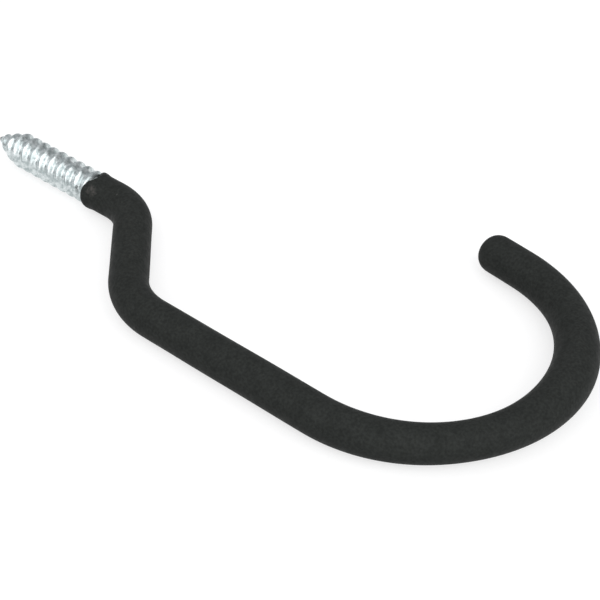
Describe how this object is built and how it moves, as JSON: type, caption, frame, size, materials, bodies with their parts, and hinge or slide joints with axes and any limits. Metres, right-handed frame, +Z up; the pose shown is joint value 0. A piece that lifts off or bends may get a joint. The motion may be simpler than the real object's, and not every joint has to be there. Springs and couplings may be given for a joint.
{
  "type": "utility hook",
  "caption": "Screw-in garage hook: a bent steel rod with a lag-screw end, an offset neck, a straight run and a wide rounded hook, dip-coated in black vinyl.",
  "frame": {"origin": "on the screw's axis, where the bare screw meets the front of the coating's lip", "axes": "+X along the screw towards the hook, +Y in the hook's plane towards the side of its free end, +Z up: the hook lies flat"},
  "size_m": [0.1491, 0.071, 0.0086],
  "materials": {
    "black_vinyl": "matte, very finely grained",
    "zinc_steel": "bright zinc plating, slightly cool grey"
  },
  "bodies": {
    "root": {"coated_rod": "black_vinyl", "lag_screw": "zinc_steel"}
  },
  "joints": []
}
